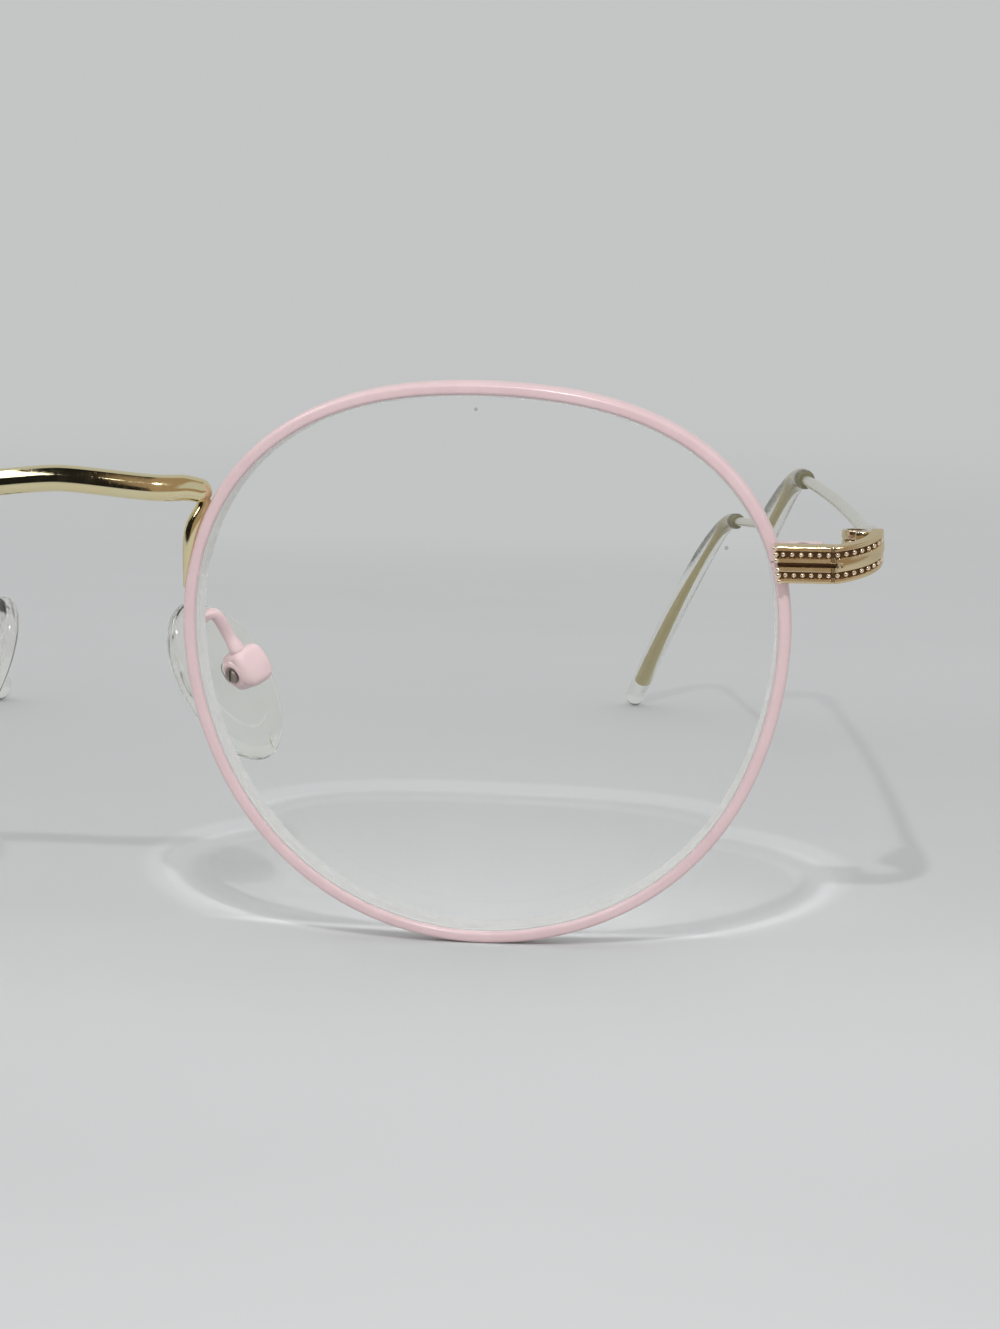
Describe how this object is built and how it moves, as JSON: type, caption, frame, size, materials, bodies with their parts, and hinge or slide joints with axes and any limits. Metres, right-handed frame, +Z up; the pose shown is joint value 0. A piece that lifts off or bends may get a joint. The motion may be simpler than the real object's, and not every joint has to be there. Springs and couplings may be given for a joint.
{
  "type": "round eyeglasses",
  "caption": "Round wire-rim eyeglasses with clear lenses, a gold bridge, beaded endpieces, rocking nose pads and folding wire temples with clear ear tips.",
  "frame": {"origin": "on the table, under the middle of the whole outline of the open glasses", "axes": "+X to the wearer's left, +Y back along the open temples, +Z up from the table"},
  "size_m": [0.137, 0.1422, 0.0484],
  "materials": {
    "pink_lacquer": "pale pink lacquer with a soft sheen over metal wire",
    "pale_gold": "polished pale gold plating",
    "steel": "plain turned screw steel",
    "lens_clear": "polished clear resin lens",
    "pad_clear": "clear soft plastic, a little yellowed",
    "tip_clear": "clear plastic sleeve over a gold wire"
  },
  "bodies": {
    "front": {"bridge": "pale_gold", "rim_left": "pink_lacquer", "rim_right": "pink_lacquer", "lens_left": "lens_clear", "lens_right": "lens_clear", "pad_arm_left": "pink_lacquer", "pad_arm_right": "pink_lacquer", "pad_box_left": "pink_lacquer", "pad_box_right": "pink_lacquer", "pad_screw_left": "steel", "pad_screw_right": "steel", "closing_block_upper_left": "pink_lacquer", "closing_block_upper_right": "pink_lacquer", "closing_block_lower_left": "pink_lacquer", "closing_block_lower_right": "pink_lacquer", "rim_screw_left": "steel", "rim_screw_right": "steel", "endpiece_left": "pale_gold", "endpiece_right": "pale_gold", "hinge_front_leaf_left": "pale_gold", "hinge_front_leaf_right": "pale_gold", "hinge_screw_left": "steel", "hinge_screw_right": "steel"},
    "temple_left": {"hinge_temple_leaf_left": "pale_gold", "temple_arm_left": "pale_gold", "temple_tip_left": "tip_clear"},
    "temple_right": {"hinge_temple_leaf_right": "pale_gold", "temple_arm_right": "pale_gold", "temple_tip_right": "tip_clear"},
    "nose_pad_left": {"nose_pad_left": "pad_clear", "pad_core_left": "pad_clear"},
    "nose_pad_right": {"nose_pad_right": "pad_clear", "pad_core_right": "pad_clear"}
  },
  "joints": [
    {"name": "temple_left_fold", "type": "hinge", "parent": "front", "child": "temple_left", "pos_m": [0.06614, -0.06214, 0.03481], "axis": [0, 0, 1], "range_deg": [0, 80]},
    {"name": "temple_right_fold", "type": "hinge", "parent": "front", "child": "temple_right", "pos_m": [-0.06614, -0.06214, 0.03481], "axis": [0, 0, -1], "range_deg": [0, 72]},
    {"name": "nose_pad_left_rock", "type": "hinge", "parent": "front", "child": "nose_pad_left", "pos_m": [0.01362, -0.05942, 0.02313], "axis": [-0.5237, -0.764, -0.3768], "range_deg": [-10, 10]},
    {"name": "nose_pad_right_rock", "type": "hinge", "parent": "front", "child": "nose_pad_right", "pos_m": [-0.01362, -0.05942, 0.02313], "axis": [0.5237, -0.764, -0.3768], "range_deg": [-10, 10]}
  ]
}
